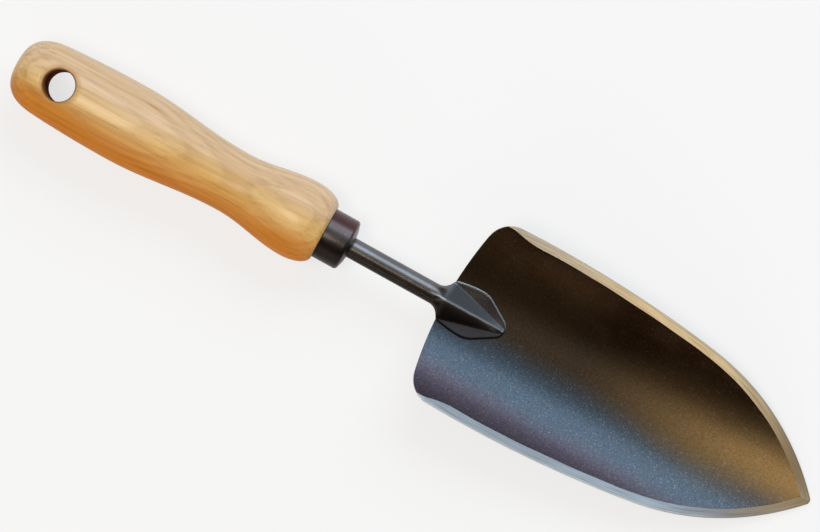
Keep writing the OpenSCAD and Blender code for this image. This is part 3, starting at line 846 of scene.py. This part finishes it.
def barFinish():
    # forged bar under dark lacquer, pale along the leaf's crest from wear and a painted highlight; painted
    # reflections, highlights and shade on its sides
    w = bar
    f = Finish("bronzed_bar")
    place = f.place()
    x, y, z = f.split(place)
    clouds = f.noise(f.mapped(place, w["cloudScale"], at=(1, 2, 3)), 1.0, 3.0, 0.6)
    colour = f.mix(clouds.band(*w["cloudShows"]), w["black"], w["brown"])
    # painted reflection: maroon along the +y side of the rod and ferrule
    beforeHeel = 1 - x.band(heelX - w["reflectedMaroonEnds"], heelX)
    colour = f.mix(y.band(*w["reflectedMaroonFrom"]) * beforeHeel * w["reflectedMaroonShare"], colour, w["reflectedMaroon"])
    grain = f.noise(place, w["grainScale"], 3.0, 0.65)
    spark = f.noise(place, w["sparkScale"], 1.0).band(*w["sparkShows"])
    colour = f.mix(spark * w["sparkShare"], colour, bronze["bright"])
    # painted highlight: a pale streak along the rod and round the ferrule's shoulder
    rod = x.band(ferruleHigh[0], ferruleHigh[0] + 1 * mm)
    highlightStreak = rod * (1 - (y - w["rodAt"]).size().band(*w["rodFrom"]))
    cup = 1 - (y - w["cupAt"]).size().band(*w["cupFrom"])
    highlightStreak = highlightStreak + (1 - rod) * cup * w["cupShare"]
    heelward = x.band(heelX - w["streakEnds"][0], heelX - w["streakEnds"][1])
    patchy = w["streakLeast"] + clouds * w["streakClouds"]
    colour = f.mix(highlightStreak * (1 - heelward) * patchy, colour, w["highlightGrey"])
    # painted shade darkens the -y side of the rod and ferrule up to the heel; that side is also made more
    # metallic
    dullAndShade = 1 - y.band(*w["shadedSideFrom"])
    colour = f.mix(dullAndShade * (1 - x.band(heelX - w["shadedSideEnds"], heelX)) * w["shadedSideShare"], colour, w["shade"])
    # the ridge's faces end at its foot line: painted light makes one blue-grey, and painted shade keeps the
    # other dark
    foot = shank["heelHalf"] - (x - heelX) * ((shank["heelHalf"] - shank["ridgeEndHalf"]) / shank["ridgeEnd"])
    ridgeStart = x.band(heelX - w["ridgeStarts"][0], heelX + w["ridgeStarts"][1])
    onRidge = (foot - y.size()).band(0.0, w["ridgeFoot"]) * ridgeStart
    wobble = (clouds - 0.5) * w["wander"]
    colour = f.mix(onRidge * (y + wobble).band(*w["litFacetFrom"]) * w["ridgeShare"], colour, w["litFacet"])
    colour = f.mix(onRidge * (1 - (y + wobble).band(*w["shadedFacetFrom"])) * w["ridgeShare"], colour, w["shade"])
    # painted light: the leaf's flange beside the ridge is lighter on the -y side
    flange = (y.size() - foot).band(0.0, w["flangeEdge"]) * x.band(heelX, heelX + w["flangeStarts"])
    flange = flange * (1 - y.band(*w["flangeFrom"]))
    colour = f.mix(flange * w["flangeShare"], colour, w["litFacet"])
    # the crest is pale partly from wear, partly from a painted highlight
    crest = (1 - (y + wobble - w["crestAt"]).size().band(*w["crestFrom"])) * heelward
    wearAndHighlight = z.band(*w["crestUp"]) * (w["crestLeast"] + clouds * w["crestClouds"])
    colour = f.mix(crest * wearAndHighlight, colour, w["paleHighlight"])
    lustre = y.band(*w["lustreFrom"]) * (w["lustreLeast"] + rod * w["lustreRod"])
    return f.surface(Base_Color=colour, Metallic=w["metal"] + dullAndShade * w["shadedSideMetal"],
                     Roughness=w["rough"] + grain * w["grainRough"],
                     Normal=f.bump(grain, w),
                     Coat_Weight=lustre, Coat_Roughness=w["coatRough"], Specular_IOR_Level=w["gloss"])


seam = {
    "scale": 900.0, "drift": 4 * mm, "litSideFrom": (-1 * mm, 4 * mm),
    "metal": 0.7, "rough": 0.38, "scaleRough": 0.2, "bump": 0.06 * mm, "bumpStrength": 0.6,
}


def seamFinish():
    # the weld run: dark scale on one side of the leaf, and a painted highlight makes it pale on the other
    w = seam
    f = Finish("weld_scale")
    place = f.place()
    y = f.split(place)[1]
    scale = f.noise(place, w["scale"], 3.0, 0.6)
    # painted highlight on the +y side
    pale = (y + (scale - 0.5) * w["drift"]).band(*w["litSideFrom"])
    return f.surface(Base_Color=f.mix(pale, bar["black"], bar["paleHighlight"]), Metallic=w["metal"],
                     Roughness=w["rough"] + scale * w["scaleRough"],
                     Normal=f.bump(scale, w))


ground = {
    # cool, warm and gold are painted reflections
    "coolReflection": (0.33, 0.37, 0.41), "warmReflection": (0.66, 0.58, 0.46), "gold": (0.88, 0.72, 0.46),
    # the tip's brown is painted shade
    "dullAndShade": (0.15, 0.13, 0.12), "rim": (0.55, 0.53, 0.49), "tip": (0.20, 0.130, 0.072),
    "lineScale": (60, 3200, 0), "broadScale": (30, 900, 0), "driftScale": (25, 25, 25),
    "goldAlong": (35 * mm, 85 * mm), "drift": 20 * mm, "lean": 0.1, "warmReflectionFrom": (-8 * mm, 16 * mm),
    "lineShows": (0.42, 0.68), "lineShare": 0.42, "broadShows": (0.52, 0.7), "broadShare": 0.28,
    "rimWander": 1 * mm, "rimFrom": (0.2 * mm, 0.9 * mm), "rimShare": 0.55,
    "tipAlong": (118 * mm, 160 * mm), "tipShare": 0.5, "tipSide": (-10 * mm, 10 * mm), "tipMore": 0.3,
    "rough": 0.46, "lineRough": 0.2, "bump": 0.02 * mm, "bumpStrength": 0.6,
}


def groundFinish():
    # bare ground steel: fine scratches along the edge, with a painted reflection that is cool on one side and
    # straw on the other
    w = ground
    f = Finish("ground_edge")
    coord = f.add("ShaderNodeAttribute", {"attribute_name": "edgeCoord"}, {}, "Vector")
    lines = f.noise(f.mapped(coord, w["lineScale"]), 1.0, 4.0, 0.7)
    broad = f.noise(f.mapped(coord, w["broadScale"], at=(2, 5, 0)), 1.0, 2.0)
    inset = f.split(coord)[1]
    place = f.place()
    x, y = f.split(place)[:2]
    drift = f.noise(f.mapped(place, w["driftScale"]), 1.0, 2.0)
    warmReflection = f.mix(x.band(*w["goldAlong"]), w["warmReflection"], w["gold"])
    sideways = y + (drift - 0.5) * w["drift"] + x * w["lean"]
    # painted reflection: cool on the -y side, warm and golden on the +y side
    colour = f.mix(sideways.band(*w["warmReflectionFrom"]), w["coolReflection"], warmReflection)
    colour = f.mix(lines.band(*w["lineShows"]) * w["lineShare"], colour, w["dullAndShade"])
    colour = f.mix(broad.band(*w["broadShows"]) * w["broadShare"], colour, w["dullAndShade"])
    rim = 1 - (inset + (lines - 0.5) * w["rimWander"]).band(*w["rimFrom"])
    colour = f.mix(rim * w["rimShare"], colour, w["rim"])
    # painted shade browns the ground steel round the tip, more on the +y side
    tipShaded = x.band(*w["tipAlong"]) * (w["tipShare"] + y.band(*w["tipSide"]) * w["tipMore"])
    colour = f.mix(tipShaded, colour, w["tip"])
    return f.surface(Base_Color=colour, Metallic=1.0, Roughness=w["rough"] + lines * w["lineRough"],
                     Normal=f.bump(lines * 0.7 + broad * 0.3, w))


resin = {
    "dark": (0.62, 0.48, 0.26), "pale": (0.76, 0.64, 0.42),
    "scale": 260.0, "rough": 0.42, "cloudRough": 0.1,
}


def resinFinish():
    f = Finish("cured_adhesive")
    cloudy = f.noise(f.place(), resin["scale"], 3.0)
    return f.surface(Base_Color=f.mix(cloudy, resin["dark"], resin["pale"]),
                     Roughness=resin["rough"] + cloudy * resin["cloudRough"])


barBronze = barFinish()
finishes = [
    (bladePiece, [sheetFinish(), groundFinish()]),
    (shankPiece, [barBronze]),
    (weldPiece, [seamFinish()]),
    (ferrulePiece, [barBronze]),
    (handlePiece, [woodFinish(), boreFinish()]),
]
for piece, materials in finishes:
    for material in materials:
        piece.data.materials.append(material)
resinPiece.material_slots[0].material = resinFinish()
print("finishes set")

# floor, lights and camera
stage = {
    "half": 3.0,  # half the floor's side
    "under": 0.2 * mm,
    "white": 0.93,
    "own": 0.75,  # share of the floor's own colour in what is seen of it
    "air": (0.92, 0.95, 1.0, 1), "airStrength": 0.28,
}


def floorFinish():
    # what the camera and the gloss see is partly the floor's own pale colour and partly its shading,
    # so the object's shadow stays, softly
    f = Finish("pale_floor")
    white = (*(stage["white"],) * 3, 1)
    matte = f.add("ShaderNodeBsdfDiffuse", {}, {"Color": white})
    plain = f.add("ShaderNodeEmission", {}, {"Color": white})
    camera = f.add("ShaderNodeLightPath", {}, {}, "Is Camera Ray")
    glossy = Wire(f, camera.out.node.outputs["Is Glossy Ray"])
    seen = f.add("ShaderNodeMath", {"operation": "MAXIMUM"}, {0: camera, 1: glossy})
    both = f.add("ShaderNodeMixShader", {}, {0: seen * stage["own"], 1: matte, 2: plain})
    f.add("ShaderNodeOutputMaterial", {}, {"Surface": both})
    return f.material


def buildFloor():
    mesh = bpy.data.meshes.new("floor")
    half, low = stage["half"], -stage["under"]
    around = [(-half, -half, low), (half, -half, low), (half, half, low), (-half, half, low)]
    mesh.from_pydata(around, [], [(0, 1, 2, 3)])
    floor = bpy.data.objects.new("floor", mesh)
    bpy.context.scene.collection.objects.link(floor)
    floor.data.materials.append(floorFinish())


def softbox(name, place, aim, size, power, colour):
    lamp = bpy.data.lights.new(name, "AREA")
    lamp.shape = "RECTANGLE"
    lamp.size, lamp.size_y = size
    lamp.energy = power
    lamp.color = colour
    box = bpy.data.objects.new(name, lamp)
    box.location = place
    box.rotation_euler = (Vector(aim) - Vector(place)).to_track_quat("-Z", "Y").to_euler()
    box.visible_camera = False
    bpy.context.scene.collection.objects.link(box)


# name, place, aim, size, power and colour
lights = [
    ("key_cool", (0.05, 1.2, 1.12), (0.05, 0, 0), (1.6, 1.0), 16.5, (0.80, 0.91, 1.0)),
    ("top_warm", (-0.35, -0.25, 1.9), (0.05, 0, 0), (0.7, 0.5), 15.0, (1.0, 0.90, 0.76)),
    ("side_warm", (0.35, -1.35, 0.42), (0.05, 0, 0), (1.3, 0.4), 5.0, (1.0, 0.89, 0.74)),
]
view = {
    "slant": 29.04,  # how far the tool's axis is turned clockwise in the frame, in degrees
    "distance": 1.4935,
    "focal": 175.0, "sensor": 36, "clipEnd": 20,
    "aim": (0.0, 0.0, 0.012),
    "across": -2.1 * mm,  # how far the frame's centre lies off the aim, along its own sides
    "up": 6.45 * mm,
}


def buildCamera():
    lens = bpy.data.cameras.new("view")
    lens.sensor_width = view["sensor"]
    lens.lens = view["focal"]
    lens.clip_end = view["clipEnd"]
    camera = bpy.data.objects.new("view", lens)
    slant = math.radians(view["slant"])
    right = Vector((math.cos(slant), math.sin(slant), 0))
    top = Vector((-math.sin(slant), math.cos(slant), 0))
    back = Vector((0, 0, 1))
    turn = Matrix((right, top, back)).transposed()
    place = Vector(view["aim"]) + right * view["across"] + top * view["up"] + back * view["distance"]
    camera.matrix_world = Matrix.Translation(place) @ turn.to_4x4()
    bpy.context.scene.collection.objects.link(camera)
    bpy.context.scene.camera = camera


def buildWorld():
    world = bpy.data.worlds.new("room")
    world.use_nodes = True
    air = world.node_tree.nodes["Background"]
    air.inputs["Color"].default_value = stage["air"]
    air.inputs["Strength"].default_value = stage["airStrength"]
    bpy.context.scene.world = world


buildFloor()
for lamp in lights:
    softbox(*lamp)
buildWorld()
buildCamera()
bpy.context.scene.view_settings.view_transform = "Standard"
print("stage set")
